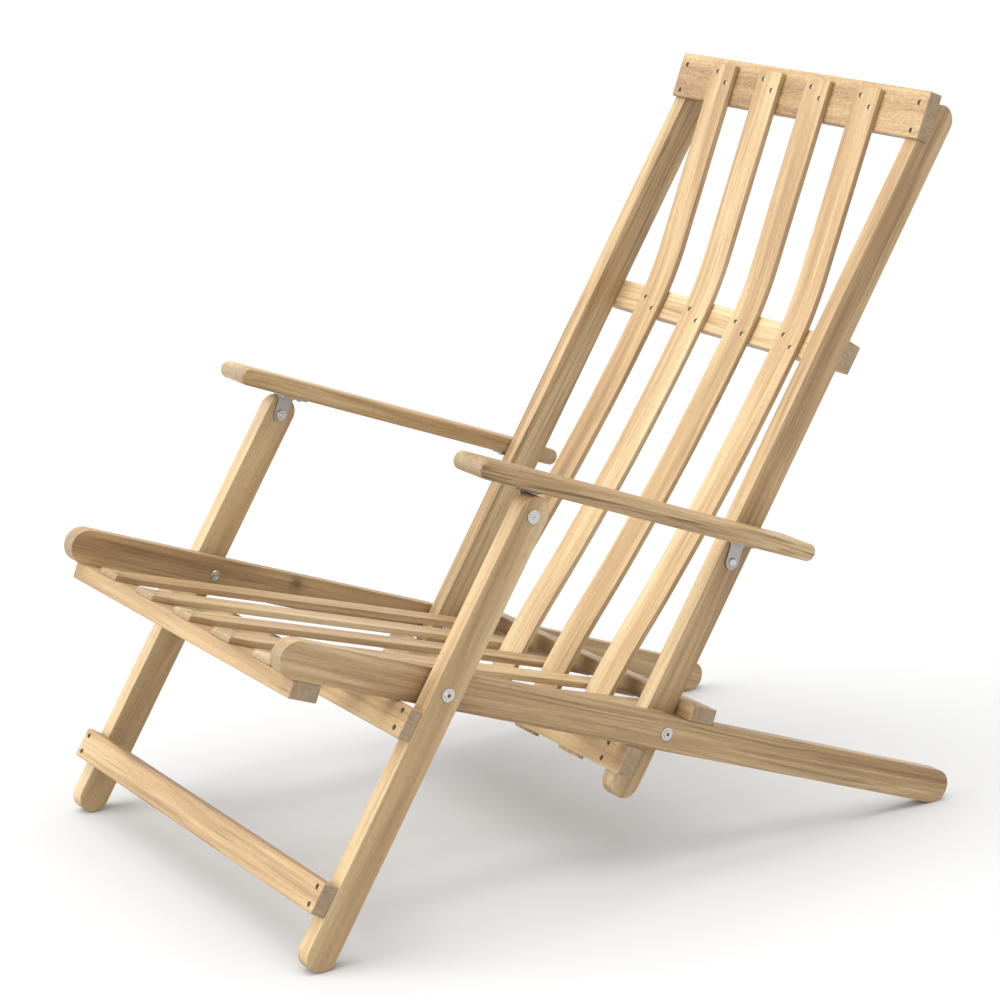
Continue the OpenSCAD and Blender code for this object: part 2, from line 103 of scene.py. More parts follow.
# ---------------------------------------------------------------------------------------------
# Seat rails. Two long teak boards on edge with full round ends; the rear ends are the chair's
# rear feet. The top edge is scooped and let down behind the seat to house the rear crossbar.
MM = 0.001
BOARD_T = 22
SEAT_IN, SEAT_OUT = 258.5, 280.5
RAIL_LOW, RAIL_TOP = -22, 23
RAIL_FRONT, RAIL_REAR = -193, 836.84
REAR_BAR_S, REAR_BAR_W, REAR_BAR_N = 389.9, 39, 20.5

pivot = {joint["name"]: Vector(joint["pos_m"]) for joint in frame["joints"]}
LEG_PIVOT, BACK_PIVOT, ARM_PIVOT = pivot["leg_fold"], pivot["back_fold"], pivot["left_arm_swing"]


def board_frame(origin, towards):
    """Axes of a board: x across the chair, y along the board, z square to it."""
    along = (towards - origin).normalized()
    across = Vector((1, 0, 0))
    turn = Matrix((across, along, across.cross(along))).transposed()
    return Matrix.Translation(origin) @ turn.to_4x4()


ON_SEAT = board_frame(LEG_PIVOT, BACK_PIVOT)
ON_LEGS = board_frame(LEG_PIVOT, ARM_PIVOT)
ON_BACK = board_frame(BACK_PIVOT, BACK_PIVOT + ARM_PIVOT - LEG_PIVOT)
ON_ARMS = board_frame(ARM_PIVOT, ARM_PIVOT + BACK_PIVOT - LEG_PIVOT)


def arc(s, n, radius, first, last, steps):
    """Points of an arc about (s, n), angles in degrees."""
    turns = [math.radians(first + (last - first) * k / steps) for k in range(steps + 1)]
    return [(s + radius * math.cos(a), n + radius * math.sin(a)) for a in turns]


def stadium(s0, s1, half, mid=0, steps=20):
    """Outline of a round-ended board."""
    return arc(s0, mid, half, 270, 90, steps) + arc(s1, mid, half, 90, -90, steps)


def prism(outline, x0, x1):
    """A board of that outline, from x0 to x1 across the chair, all in millimetres."""
    bm = bmesh.new()
    near = [bm.verts.new(Vector((x0, s, n)) * MM) for s, n in outline]
    far = [bm.verts.new(Vector((x1, s, n)) * MM) for s, n in outline]
    bm.faces.new(near)
    bm.faces.new(far[::-1])
    for k in range(len(outline)):
        j = (k + 1) % len(outline)
        bm.faces.new((near[j], near[k], far[k], far[j]))
    bmesh.ops.recalc_face_normals(bm, faces=bm.faces)
    return bm


def ease(bm, radius, steps=3, corner=40):
    """Rounds every edge sharper than a corner angle, as a sanded arris."""
    closed = [e for e in bm.edges if len(e.link_faces) == 2]
    sharp = [e for e in closed if math.degrees(e.calc_face_angle(0)) > corner]
    bmesh.ops.bevel(bm, geom=sharp, offset=radius * MM, offset_type="OFFSET", segments=steps,
                    profile=0.5, affect="EDGES", clamp_overlap=True)


def carve(bm, cutter, how="DIFFERENCE"):
    """Takes one solid from another, or keeps what they share."""
    pair = []
    for part in (bm, cutter):
        mesh = bpy.data.meshes.new("work")
        part.to_mesh(mesh)
        part.free()
        pair.append(bpy.data.objects.new("work", mesh))
        scene.collection.objects.link(pair[-1])
    cut = pair[0].modifiers.new("cut", "BOOLEAN")
    cut.operation = how
    cut.solver = "EXACT"
    cut.object = pair[1]
    bpy.context.view_layer.update()
    done = pair[0].evaluated_get(bpy.context.evaluated_depsgraph_get())
    out = bmesh.new()
    out.from_mesh(done.to_mesh())
    done.to_mesh_clear()
    for thing in pair:
        data = thing.data
        bpy.data.objects.remove(thing)
        bpy.data.meshes.remove(data)
    return out


def facing(at, way):
    """A place in a board's frame, in millimetres, whose z points that way."""
    turn = Vector(way).to_track_quat("Z", "Y").to_matrix().to_4x4()
    return Matrix.Translation(Vector(at) * MM) @ turn


def bore(bm, holes):
    """Drills flat-bottomed holes: each a place, the way out of its mouth, a radius and a depth."""
    drills = bmesh.new()
    for at, way, radius, depth in holes:
        place = facing(at, way) @ Matrix.Translation((0, 0, (1 - depth) / 2 * MM))
        bmesh.ops.create_cone(drills, cap_ends=True, segments=24, radius1=radius * MM,
                              radius2=radius * MM, depth=(depth + 1) * MM, matrix=place)
    return carve(bm, drills)


def grain(mesh, log, tone=0.0, along="s", bow=None):
    """Gives each point its place in the log the board was sawn from, the board its own tone, and
    each face how far it is cut across the grain. bow straightens a bent board first."""
    in_log, end_grain = [], []
    for v in mesh.vertices:
        x, s, n = v.co
        n -= bow(s / MM) * MM if bow else 0
        x, s = (x, s) if along == "s" else (s, x)
        in_log += [x + log[0], s + log[1], n + log[2]]
    for face in mesh.polygons:
        end_grain.append(abs(face.normal.y if along == "s" else face.normal.x))
    tones = [tone] * len(mesh.vertices)
    mesh.attributes.new("in_log", "FLOAT_VECTOR", "POINT").data.foreach_set("vector", in_log)
    mesh.attributes.new("end_grain", "FLOAT", "FACE").data.foreach_set("value", end_grain)
    mesh.attributes.new("board_tone", "FLOAT", "POINT").data.foreach_set("value", tones)


def add_piece(name, bm, place, material, body, stands_for, wood=None):
    """Sets a mesh in its place as a piece of the chair that rides on a body and stands for a
    CAD node."""
    mesh = bpy.data.meshes.new(name)
    bm.to_mesh(mesh)
    bm.free()
    if wood:
        grain(mesh, **wood)
    mesh.transform(place)
    mesh.shade_smooth()
    mesh.set_sharp_from_angle(angle=math.radians(14))
    mesh.materials.append(material)
    piece = bpy.data.objects.new(name, mesh)
    scene.collection.objects.link(piece)
    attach(piece, body)
    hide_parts(stands_for)


class Tree:
    """Short ways to add shader nodes and join them."""

    def __init__(self, name):
        self.material = bpy.data.materials.new(name)
        self.material.use_nodes = True
        self.nodes = self.material.node_tree.nodes
        self.links = self.material.node_tree.links
        self.shader = self.nodes["Principled BSDF"]

    def put(self, kind, settings=None, **inputs):
        made = self.nodes.new("ShaderNode" + kind)
        for key, value in (settings or {}).items():
            setattr(made, key, value)
        for key, value in inputs.items():
            self.feed(made.inputs[int(key[1:]) if key[0] == "_" else key.replace("_", " ")], value)
        return made

    def feed(self, socket, value):
        if hasattr(value, "is_output"):
            self.links.new(value, socket)
        else:
            socket.default_value = value

    def math(self, what, a, b=0.0, c=0.0, clamp=False):
        return self.put("Math", {"operation": what, "use_clamp": clamp}, _0=a, _1=b, _2=c).outputs[0]

    def attribute(self, name, output="Vector"):
        return self.put("Attribute", {"attribute_name": name}).outputs[output]

    def noise(self, at, stretch, detail=2.0, rough=0.5):
        spot = self.put("Mapping", Vector=at, Scale=stretch).outputs[0]
        return self.put("TexNoise", Vector=spot, Scale=1.0, Detail=detail, Roughness=rough)

    def ramp(self, value, *stops):
        """Blends through the colours or greys given with their positions."""
        made = self.put("ValToRGB", Fac=value)
        elements = made.color_ramp.elements
        for spot, colour in stops[1:-1]:
            elements.new(spot)
        elements[0].position, elements[-1].position = stops[0][0], stops[-1][0]
        for element, (spot, colour) in zip(elements, stops):
            element.color = (*(colour if isinstance(colour, tuple) else (colour,) * 3), 1)
        return made.outputs[0]

    def mix(self, share, a, b, how="MIX"):
        made = self.put("Mix", {"data_type": "RGBA", "blend_type": how})
        self.feed(made.inputs[0], share)
        self.feed(made.inputs[6], a)
        self.feed(made.inputs[7], b)
        return made.outputs[2]


def shade(colour, share):
    return tuple(c * share for c in colour) + (1,)


def teak(name, rings=0.5, lines=0.5, mottle=0.0, pitch=0.007, knot=None):
    """Bare oiled teak: slow changes of colour, growth rings about a distant heart, dark streaks
    that come and go, fine fibres, open pores and greyer end grain."""
    t = Tree(name)
    spot = t.attribute("in_log")
    drift = t.noise(spot, (8, 1.2, 8), 2.0, 0.5).outputs["Color"]
    drift = t.put("VectorMath", {"operation": "SUBTRACT"}, _0=drift, _1=(0.5, 0.5, 0.5)).outputs[0]
    moved = t.put("VectorMath", {"operation": "MULTIPLY_ADD"}, _0=drift, _1=(0.05, 0, 0.05), _2=spot)
    moved = moved.outputs[0]
    flat = t.put("VectorMath", {"operation": "MULTIPLY"}, _0=moved, _1=(1, 0, 1)).outputs[0]
    reach = t.put("VectorMath", {"operation": "LENGTH"}, _0=flat).outputs["Value"]
    ring = t.math("FRACT", t.math("DIVIDE", reach, pitch))
    ring = t.ramp(ring, (0.0, 0.3), (0.15, 0.0), (0.6, 0.35), (0.92, 1.0), (1.0, 0.3))
    broad = t.noise(moved, (26, 1.5, 26), 3.0, 0.55).outputs["Fac"]
    streak = t.noise(moved, (170, 2.8, 170), 3.0, 0.6).outputs["Fac"]
    fibre = t.noise(spot, (900, 13, 900), 2.0, 0.6).outputs["Fac"]
    short = t.noise(spot, (520, 160, 520), 2.0, 0.6).outputs["Fac"]
    pore = t.ramp(t.noise(spot, (2000, 90, 2000), 1.0, 0.5).outputs["Fac"], (0.60, 0.0), (0.70, 1.0))
    strength = t.ramp(t.noise(spot, (9, 0.9, 9), 1.0, 0.5).outputs["Fac"], (0.40, 0.25), (0.66, 1.0))
    depth = t.math("ADD", t.attribute("board_tone", "Fac"), 0.44)
    for layer, share in ((broad, 1.7), (streak, 0.5 + lines), (fibre, 0.5), (short, mottle)):
        depth = t.math("MULTIPLY_ADD", t.math("SUBTRACT", layer, 0.5), share, depth)
    ring = t.math("MULTIPLY", t.math("SUBTRACT", ring, 0.4), strength)
    depth = t.math("MULTIPLY_ADD", ring, rings * 0.5, depth)
    colour = t.ramp(depth, (0.0, PALE), (0.45, HONEY), (1.0, BROWN))
    vein = t.noise(moved, (330, 1.7, 330), 2.0, 0.55).outputs["Fac"]
    vein = t.math("MULTIPLY", t.ramp(vein, (0.545, 0.0), (0.65, 1.0)), strength)
    colour = t.mix(t.math("MULTIPLY", vein, lines), colour, shade(BROWN, 0.5))
    colour = t.mix(t.math("MULTIPLY", pore, 0.4), colour, shade(BROWN, 0.60))
    if knot:
        off = t.put("VectorMath", {"operation": "SUBTRACT"}, _0=moved, _1=knot).outputs[0]
        off = t.put("VectorMath", {"operation": "MULTIPLY"}, _0=off, _1=(0.3, 0.8, 1.0)).outputs[0]
        off = t.put("VectorMath", {"operation": "LENGTH"}, _0=off).outputs["Value"]
        spread = t.math("MULTIPLY", t.noise(spot, (160, 160, 160), 2.0, 0.6).outputs["Fac"], 0.008)
        heart = t.math("SUBTRACT", off, spread)
        heart = t.ramp(heart, (0.0, 0.7), (0.002, 0.55), (0.005, 0.2), (0.012, 0.0))
        colour = t.mix(heart, colour, shade(BROWN, 0.42))
    end = t.ramp(t.attribute("end_grain", "Fac"), (0.55, 0.0), (0.93, 1.0))
    speck = t.noise(spot, (1500, 1500, 1500), 2.0, 0.6).outputs["Fac"]
    rind = t.ramp(t.noise(moved, (420, 420, 90), 2.0, 0.5).outputs["Fac"], (0.35, 0.0), (0.65, 1.0))
    cut = t.mix(t.math("MULTIPLY_ADD", speck, 0.5, t.math("MULTIPLY", rind, 0.5)), END_PALE, END_DARK)
    colour = t.mix(t.math("MULTIPLY", end, 0.85), colour, cut)
    t.links.new(colour, t.shader.inputs["Base Color"])
    rough = t.math("MULTIPLY_ADD", pore, 0.15, t.math("MULTIPLY_ADD", broad, 0.2, 0.38), clamp=True)
    t.links.new(rough, t.shader.inputs["Roughness"])
    t.shader.inputs["Specular IOR Level"].default_value = 0.45
    relief = t.math("MULTIPLY_ADD", ring, 0.3, t.math("MULTIPLY", fibre, 0.8))
    relief = t.math("MULTIPLY_ADD", pore, -0.7, relief)
    bump = t.put("Bump", Strength=0.3, Distance=0.0003, Height=relief).outputs[0]
    t.links.new(bump, t.shader.inputs["Normal"])
    return t.material


PALE, HONEY, BROWN = (0.56, 0.43, 0.245), (0.40, 0.265, 0.128), (0.205, 0.115, 0.052)
END_PALE, END_DARK = (0.36, 0.27, 0.165, 1), (0.17, 0.125, 0.075, 1)
rail_teak = teak("rail_teak", 0.5, 0.7)
knotty_teak = teak("knotty_teak", 0.5, 0.6, knot=(0.0715, 7.5258, -0.0184))

RAIL_MID, RAIL_HALF = (RAIL_LOW + RAIL_TOP) / 2, (RAIL_TOP - RAIL_LOW) / 2
SCOOP_R = 157
HOUSING_END = REAR_BAR_S + REAR_BAR_W + 0.4
rail_outline = (
    arc(RAIL_FRONT, RAIL_MID, RAIL_HALF, 270, 90, 20)
    + arc(REAR_BAR_S - 4, REAR_BAR_N + SCOOP_R + 0.3, SCOOP_R, -100.2, -91.5, 10)
    + [(REAR_BAR_S, REAR_BAR_N + 0.35), (REAR_BAR_S, REAR_BAR_N),
       (HOUSING_END, REAR_BAR_N), (HOUSING_END, RAIL_TOP)]
    + arc(RAIL_REAR, RAIL_MID, RAIL_HALF, 90, -90, 20)
)
for name, x, wood, log, tone in (
        ("left", SEAT_IN, rail_teak, (-0.20, 3.1, 0.045), 0.06),
        ("right", -SEAT_OUT, knotty_teak, (0.33, 7.4, -0.03), 0.08)):
    rail = prism(rail_outline, x, x + BOARD_T)
    ease(rail, 1.4)
    add_piece(name + "_seat_board", rail, ON_SEAT, wood, "seat_frame", name + "_seat_rail",
              {"log": log, "tone": tone})

# ---------------------------------------------------------------------------------------------
# Seat crossbars. The front one is screwed up under the rails' front ends; the rear one lies in
# the rails' housings and is the stop behind the back. Their ends are sawn square and eased.
bar_teak = teak("bar_teak", 0.35, 0.35)
BAR_W = 39
HEAD_R, SINK = 3.6, 3.7
SMALL_R, SMALL_SINK = 3.3, 2.8
BAR_PAIR = 11
SLAT_PAIR_X, SLAT_PAIR_S = 11, 6.7
SLAT_PITCH = 99.4
SEAT_SLAT_X = [SLAT_PITCH * k for k in (-2, -1, 0, 1, 2)]
BACK_SLAT_X = [SLAT_PITCH * k for k in (-1.5, -0.5, 0.5, 1.5)]
SEAT_MID, LEG_MID, BACK_MID = 269.5, 299, 240


def end_pairs(x, s, n, apart):
    """Places of two screws at each end of a bar."""
    return [(hand * x, s + k * apart, n) for hand in (-1, 1) for k in (-1, 1)]


def slat_pairs(rows, s, n):
    """Places of the slanted screw pair of each slat."""
    return [(x + k * SLAT_PAIR_X, s - k * SLAT_PAIR_S, n) for x in rows for k in (-1, 1)]


def crossbar(name, node, half, s0, wide, n0, thick, place, body, log, tone, screws, way,
             arris=2.0, wood=bar_teak):
    """A bar from side to side with eased arrises and sunk end screws, its grain along x."""
    s1, n1 = s0 + wide, n0 + thick
    bar = prism([(s0, n0), (s1, n0), (s1, n1), (s0, n1)], -half, half)
    ease(bar, arris)
    bar = bore(bar, [(at, way, HEAD_R, SINK) for at in screws])
    add_piece(name, bar, place, wood, body, node, {"log": log, "tone": tone, "along": "x"})


UP, DOWN = (0, 0, 1), (0, 0, -1)
FRONT_SCREW_S, REAR_SCREW_S = -170.5, 409.4
front_bar_screws = end_pairs(SEAT_MID, FRONT_SCREW_S, -44, BAR_PAIR)
rear_bar_screws = end_pairs(SEAT_MID, REAR_SCREW_S, 41.5, BAR_PAIR)
crossbar("seat_front_board", "seat_front_bar", SEAT_OUT, -190, BAR_W, -44, 22,
         ON_SEAT, "seat_frame", (0.10, 1.7, 0.05), 0.10, front_bar_screws, DOWN)
crossbar("seat_rear_board", "seat_rear_bar", SEAT_OUT, REAR_BAR_S, REAR_BAR_W, REAR_BAR_N, 21,
         ON_SEAT, "seat_frame", (-0.05, 4.9, 0.08), 0.06, rear_bar_screws, UP)

# ---------------------------------------------------------------------------------------------
# Seat slats. Five thin teak boards, flat on the front bar, straight up to the rear bar and flat
# under it, with a slanted pair of small screws at each end.
SLAT_T = 8
SEAT_SLAT_W = 43
slat_teak = teak("slat_teak", 0.4, 0.3)
SLAT_LOW, SLAT_HIGH = RAIL_LOW + SLAT_T, REAR_BAR_N - SLAT_T
FRONT_REST, SLAT_END = -151, 426.9
seat_slat_outline = [
    (-187.5, RAIL_LOW), (FRONT_REST, RAIL_LOW), (REAR_BAR_S, SLAT_HIGH), (SLAT_END, SLAT_HIGH),
    (SLAT_END, REAR_BAR_N), (REAR_BAR_S, REAR_BAR_N), (FRONT_REST, SLAT_LOW), (-186, SLAT_LOW),
    (-187.5, -16.5)]
SEAT_LOGS = [(0.09, 0.3, 0.06), (-0.17, 2.2, 0.05), (0.05, 5.2, 0.10), (0.21, 8.8, 0.04),
             (-0.06, 6.1, 0.07)]
SEAT_TONES = (0.02, -0.04, 0.05, 0.0, -0.03)
SLAT_RISE = 0.0638
for k, x in enumerate(SEAT_SLAT_X):
    slat = prism(seat_slat_outline, x - SEAT_SLAT_W / 2, x + SEAT_SLAT_W / 2)
    ease(slat, 1.0)
    holes = [(at, UP) for at in slat_pairs([x], FRONT_SCREW_S, SLAT_LOW)]
    holes += [(at, DOWN) for at in slat_pairs([x], REAR_SCREW_S, SLAT_HIGH)]
    slat = bore(slat, [(at, way, SMALL_R, SMALL_SINK) for at, way in holes])
    add_piece(f"seat_slat_board_{k + 1}", slat, ON_SEAT, slat_teak, "seat_frame",
              f"seat_slat_{k + 1}",
              {"log": SEAT_LOGS[k], "tone": SEAT_TONES[k],
               "bow": lambda s: (s - FRONT_REST) * SLAT_RISE})

# ---------------------------------------------------------------------------------------------
# Legs. Two round-ended teak boards outside the seat rails, joined by two crossbars that are
# screwed on their front edges: one near the floor, one just under the seat.
LEG_IN, LEG_OUT = 288, 310
LEG_FOOT, LEG_TOP = -331.05, 231.5
EDGE = 21
leg_teak = teak("leg_teak", 0.25, 0.2)
for name, x, log, tone in (("left", LEG_IN, (0.16, 1.2, 0.06), -0.10),
                           ("right", -LEG_OUT, (-0.28, 5.7, 0.05), -0.2)):
    leg = prism(stadium(LEG_FOOT, LEG_TOP, EDGE), x, x + BOARD_T)
    ease(leg, 1.3)
    add_piece(name + "_leg_board", leg, ON_LEGS, leg_teak, "leg_frame", name + "_leg",
              {"log": log, "tone": tone})

LOW_BAR_T, UP_BAR_T = 21, 17.5
low_bar_screws = end_pairs(LEG_MID, -271.55, EDGE + LOW_BAR_T, BAR_PAIR)
up_bar_screws = end_pairs(LEG_MID - 4, -48.66, EDGE + UP_BAR_T, BAR_PAIR)
crossbar("lower_leg_board", "lower_leg_bar", LEG_OUT, -291.05, BAR_W, EDGE, LOW_BAR_T,
         ON_LEGS, "leg_frame", (0.07, 2.9, 0.09), 0.08, low_bar_screws, UP)
crossbar("upper_leg_board", "upper_leg_bar", LEG_OUT, -69.16, BAR_W, EDGE, UP_BAR_T,
         ON_LEGS, "leg_frame", (0.19, 6.6, -0.04), 0.04, up_bar_screws, UP)

# ---------------------------------------------------------------------------------------------
# Back rails. Two round-ended teak boards inside the seat rails, notched on their front edges
# for the tilted top bar. A middle bar is screwed behind them and a bottom bar in front.
BACK_IN, BACK_OUT = 229, 251
BACK_FOOT, BACK_TOP = -75.5, 841
MID_S, BOTTOM_S = 505, -70.25
CREST_S, CREST_N, CREST_W, CREST_T = 834.4, 32.3, 62, 21
BEND_S = MID_S + 10
run, rise = CREST_S - BEND_S, CREST_N + EDGE
BEND_R = 0.51 * (run * run + rise * rise) / (2 * rise)
half_turn = (math.sqrt(run * run + rise * (rise - 2 * BEND_R)) - run) / (rise - 2 * BEND_R)
CREST_TILT = 2 * math.atan(half_turn)
ON_CREST = (ON_BACK @ Matrix.Translation((0, CREST_S * MM, CREST_N * MM))
            @ Matrix.Rotation(CREST_TILT, 4, "X"))


def from_crest(a, b):
    """A point given along and square to the top bar, in the back rail's s and n."""
    c, s = math.cos(CREST_TILT), math.sin(CREST_TILT)
    return CREST_S + a * c - b * s, CREST_N + a * s + b * c


NOTCH_LOW, NOTCH_PAST = -CREST_W / 2 - 0.1, 5
notch_corners = ((NOTCH_LOW, -CREST_T), (90, -CREST_T), (90, 60), (NOTCH_LOW, 60))
notch = [from_crest(a, b) for a, b in notch_corners]
for name, x, log, tone in (("left", BACK_IN, (0.24, 0.8, 0.07), 0.05),
                           ("right", -BACK_OUT, (-0.12, 4.1, 0.05), 0.03)):
    back = prism(stadium(BACK_FOOT, BACK_TOP, EDGE), x, x + BOARD_T)
    back = carve(back, prism(notch, x - NOTCH_PAST, x + BOARD_T + NOTCH_PAST))
    ease(back, 1.3)
    add_piece(name + "_back_board", back, ON_BACK, rail_teak, "back_frame", name + "_back_rail",
              {"log": log, "tone": tone})

top_bar_screws = end_pairs(BACK_MID, -3.5, 0, 18)
MID_BAR_T, BOTTOM_BAR_T = 22, 23
mid_bar_screws = end_pairs(BACK_MID, MID_S + BAR_W / 2, -EDGE - MID_BAR_T, BAR_PAIR)
bottom_bar_screws = end_pairs(BACK_MID, BOTTOM_S + BAR_W / 2, EDGE + BOTTOM_BAR_T, 10.5)
slat_top_screws = slat_pairs(BACK_SLAT_X, 4, SLAT_T)
slat_mid_screws = slat_pairs(BACK_SLAT_X, MID_S + 15, SLAT_T - EDGE)
slat_bottom_screws = slat_pairs(BACK_SLAT_X, BOTTOM_S + BAR_W / 2, EDGE - SLAT_T)
top_bar_teak = teak("top_bar_teak", 0.15, 0.1, 0.9)
crossbar("back_top_board", "back_top_bar", BACK_OUT + 4.4, -CREST_W / 2, CREST_W, -CREST_T, CREST_T,
         ON_CREST, "back_frame", (0.02, 1.1, 0.030), 0.07, top_bar_screws, UP, 2.6, top_bar_teak)
crossbar("back_mid_board", "back_mid_bar", BACK_OUT, MID_S, BAR_W, -EDGE - MID_BAR_T, MID_BAR_T,
         ON_BACK, "back_frame", (0.14, 3.3, 0.06), -0.16, mid_bar_screws, DOWN)
crossbar("back_bottom_board", "back_bottom_bar", 280, BOTTOM_S, BAR_W, EDGE, BOTTOM_BAR_T,
         ON_BACK, "back_frame", (-0.22, 2.4, 0.05), 0.03, bottom_bar_screws, UP)

# ---------------------------------------------------------------------------------------------
# Back slats. Four thin teak boards bent to a slack S: behind the bottom bar, round to the middle
# bar's front, then forward again to the top bar's face, a slanted screw pair at each bar.
BACK_SLAT_W = 46
LOW_RUN, LOW_RISE = MID_S - BOTTOM_S - BAR_W, 34
LOW_TURN = 2 * math.atan(LOW_RISE / LOW_RUN)
LOW_R = LOW_RUN / math.sin(LOW_TURN)
MID_R, FOOT_R = 0.75 * LOW_R + SLAT_T, 0.25 * LOW_R - SLAT_T
BEND_STEPS = 16
rear_face = [(BOTTOM_S - 4.7, EDGE - SLAT_T, 0)]


def bend(s, n, radius, first, last, skip=0):
    """Steps of a bend that starts or ends along the rail at (s, n), with the slope at each."""
    turns = [first + (last - first) * k / BEND_STEPS for k in range(skip, BEND_STEPS + 1)]
    return [(s + radius * math.sin(a), n + radius * (1 - math.cos(a)), a) for a in turns]


rear_face += bend(BOTTOM_S + BAR_W, EDGE - SLAT_T, -FOOT_R, 0, -LOW_TURN)
rear_face += bend(MID_S, -EDGE, MID_R, -LOW_TURN, 0, 1)
rear_face += bend(BEND_S, -EDGE, BEND_R, 0, CREST_TILT)
rear_face.append((*from_crest(CREST_W / 2 - 8.5, 0), CREST_TILT))
front_face = [(s - SLAT_T * math.sin(a), n + SLAT_T * math.cos(a)) for s, n, a in rear_face]
back_slat_outline = front_face + [(s, n) for s, n, a in reversed(rear_face)]


def slat_bow(s):
    """How far forward the rear face of a back slat lies at s."""
    for (s0, n0, _), (s1, n1, _) in zip(rear_face, rear_face[1:]):
        if s <= s1:
            return n0 + (n1 - n0) * (s - s0) / (s1 - s0)
    return n1


BACK_LOGS = [(0.12, 0.5, 0.07), (-0.20, 3.9, 0.05), (0.03, 6.3, 0.09), (0.26, 9.1, 0.05)]
BACK_TONES = (0.10, -0.10, -0.08, -0.08)
crest_way = (0, -math.sin(CREST_TILT), math.cos(CREST_TILT))
for k, x in enumerate(BACK_SLAT_X):
    slat = prism(back_slat_outline, x - BACK_SLAT_W / 2, x + BACK_SLAT_W / 2)
    ease(slat, 1.0)
    pair = slice(2 * k, 2 * k + 2)
    holes = [(at, UP) for at in slat_mid_screws[pair]]
    holes += [(at, DOWN) for at in slat_bottom_screws[pair]]
    holes += [((x_at, *from_crest(a, b)), crest_way) for x_at, a, b in slat_top_screws[pair]]
    slat = bore(slat, [(at, way, SMALL_R, SMALL_SINK) for at, way in holes])
    add_piece(f"back_slat_board_{k + 1}", slat, ON_BACK, slat_teak, "back_frame",
              f"back_slat_{k + 1}",
              {"log": BACK_LOGS[k], "tone": BACK_TONES[k], "bow": slat_bow})

# ---------------------------------------------------------------------------------------------
# Armrests. Slender teak boards, bullnosed at both ends in side view, their long arrises well
# rounded for the forearm; they are screwed up from the brackets.
ARM_IN, ARM_W, ARM_N, ARM_T = 253, 60, 28, 22.5
ARM_FRONT, ARM_REAR = -93, 435.5
arm_teak = teak("arm_teak", 0.6, 0.8, pitch=0.005)
for name, x, log, tone in (("left", ARM_IN, (0.11, 2.6, 0.05), 0.10),
                           ("right", -ARM_IN - ARM_W, (-0.31, 6.9, 0.04), -0.18)):
    half = ARM_T / 2
    rest = prism(stadium(ARM_FRONT + half, ARM_REAR - half, half, ARM_N + half), x, x + ARM_W)
    ease(rest, 3.2, 4)
    add_piece(name + "_arm_board", rest, ON_ARMS, arm_teak, name + "_arm", name + "_armrest",
              {"log": log, "tone": tone})

# ---------------------------------------------------------------------------------------------
# Brackets. Stainless angle plates: the leaf turns on the pivot with a round foot, flares, and
# is bent over into a flange that carries the armrest.
PLATE_T = 2.5
FRONT_LEAF, REAR_LEAF = 285.2, 251.3
SPACING = 360


def brushed_steel(name, colour, rough, scratch):
    """Stainless steel with fine cross scratches and small differences of gloss."""
    t = Tree(name)
    spot = t.put("TexCoord").outputs["Object"]
    haze = t.noise(spot, (300, 300, 300), 3.0, 0.6).outputs["Fac"]
    lines = t.noise(spot, (250, 6000, 900), 2.0, 0.6).outputs["Fac"]
    t.links.new(t.mix(haze, shade(colour, 0.82), shade(colour, 1)), t.shader.inputs["Base Color"])
    t.shader.inputs["Metallic"].default_value = 1.0
    t.links.new(t.math("MULTIPLY_ADD", haze, 0.2, rough - 0.08), t.shader.inputs["Roughness"])
    bump = t.put("Bump", Strength=scratch, Distance=0.00005, Height=lines).outputs[0]
    t.links.new(bump, t.shader.inputs["Normal"])
    return t.material


# Painted shade: the plates' stainless is given a darker colour than the bolts' stainless, standing in
# for the darker shading and reflections the plates show.
plate_steel_painted_shade = brushed_steel("plate_steel_painted_shade", (0.42, 0.41, 0.395), 0.30, 0.35)


def bracket(hand, leaf_x, s, inward):
    """Bends an angle from plate and trims it to the leaf's outline."""
    low, high, root = -12, ARM_N, ARM_N - PLATE_T
    reach, outer_r, inner_r = 23.7, 3.2, 0.7
    flare_r, flare_n, wing = 8, 17.5, 20
    inner = -1 if inward else 1
    x0 = leaf_x + (PLATE_T if inward else 0)

    def rounded(x, n, radius, degrees):
        turns = [math.radians(a) for a in degrees]
        return [(x + inner * radius * (1 - math.cos(a)), n - radius * (1 - math.sin(a))) for a in turns]

    section = [(x0, low)] + rounded(x0, high, outer_r, range(0, 91, 15))
    section += [(x0 + inner * reach, high), (x0 + inner * reach, root)]
    section += rounded(x0 + inner * PLATE_T, root, inner_r, range(90, -1, -30))
    section += [(x0 + inner * PLATE_T, low)]
    angle = bmesh.new()
    ends = [[angle.verts.new(Vector((hand * x, y, n)) * MM) for x, n in section]
            for y in (s - wing, s + wing)]
    angle.faces.new(ends[0])
    angle.faces.new(ends[1][::-1])
    for k in range(len(section)):
        j = (k + 1) % len(section)
        angle.faces.new((ends[0][j], ends[0][k], ends[1][k], ends[1][j]))
    bmesh.ops.recalc_face_normals(angle, faces=angle.faces)
    leaf = arc(s, 0, 10, 180, 360, 20)
    leaf += arc(s + 18, flare_n, flare_r, 180, 90, 6)
    leaf += [(s + wing, root), (s + wing, high + 2), (s - wing, high + 2), (s - wing, root)]
    leaf += arc(s - 18, flare_n, flare_r, 90, 0, 6)
    wide = sorted((hand * (x0 + inner * 30), hand * (x0 - inner * 10)))
    made = carve(angle, prism(leaf, *wide), "INTERSECT")
    ease(made, 0.35, 2, 60)
    return made


for hand, name in ((1, "left"), (-1, "right")):
    for place, leaf_x, s, inward in (("front", FRONT_LEAF, 0, True),
                                     ("rear", REAR_LEAF, SPACING, False)):
        add_piece(f"{name}_{place}_angle", bracket(hand, leaf_x, s, inward), ON_ARMS, plate_steel_painted_shade,
                  name + "_arm", f"{name}_arm_{place}_bracket")

